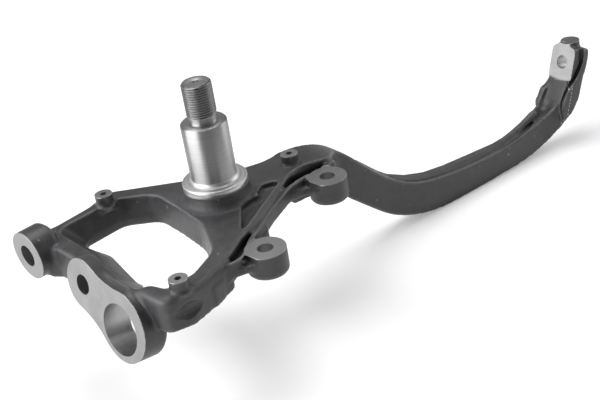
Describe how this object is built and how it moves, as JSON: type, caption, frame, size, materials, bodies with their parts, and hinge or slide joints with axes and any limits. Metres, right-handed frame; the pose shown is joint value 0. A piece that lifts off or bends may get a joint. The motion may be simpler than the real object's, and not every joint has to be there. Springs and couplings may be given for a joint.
{
  "type": "steering knuckle",
  "caption": "Forged steel steering knuckle with a threaded stub axle, a ring body with machined joint and caliper faces, and a long curved gooseneck arm.",
  "frame": {"origin": "on the stub axle's axis, in the plane of the flange face that the wheel bearing stops against", "axes": "+Z out along the stub axle to its threaded end, +X towards the gooseneck and the upper ball joint, +Y completes the frame, towards the track-rod side"},
  "size_m": [0.5726, 0.1922, 0.2165],
  "materials": {
    "coated_forging": "semi-gloss dark grey coating on an as-forged skin; the joint faces, bores, ears and stub axle are machined bright steel"
  },
  "bodies": {
    "root": {"steering_knuckle": "coated_forging"}
  },
  "joints": []
}
